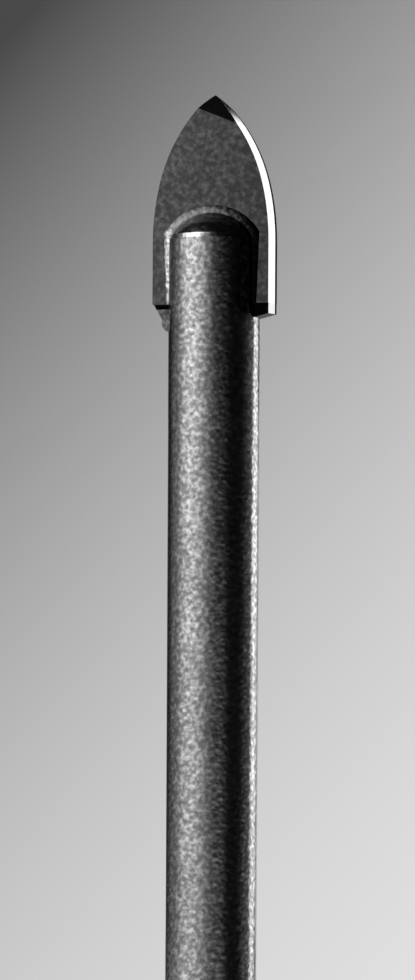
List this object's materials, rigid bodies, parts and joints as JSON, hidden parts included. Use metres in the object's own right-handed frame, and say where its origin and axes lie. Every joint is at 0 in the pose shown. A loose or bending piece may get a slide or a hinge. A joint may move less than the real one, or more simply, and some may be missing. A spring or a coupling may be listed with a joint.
{
  "type": "glass and tile drill bit",
  "caption": "Spear-point carbide blade brazed into the slotted ball nose of a round steel shank, for drilling glass and tile.",
  "frame": {"origin": "centre of the flat end of the shank, on the surface that the bit stands on", "axes": "+Z along the axis from the shank's flat end to the point, X across the width of the blade, Y through its thickness"},
  "size_m": [0.008, 0.006, 0.08],
  "materials": {
    "blasted_steel": "dark steel, grit-blasted and grainy",
    "carbide": "dark grey carbide, fine-blasted faces with smooth ground flanks and facets",
    "braze_metal": "dull silver braze, blasted grainy along with the rest, with dark flux left under the shoulders"
  },
  "bodies": {
    "root": {"shank": "blasted_steel", "carbide_tip": "carbide", "braze": "braze_metal"}
  },
  "joints": []
}
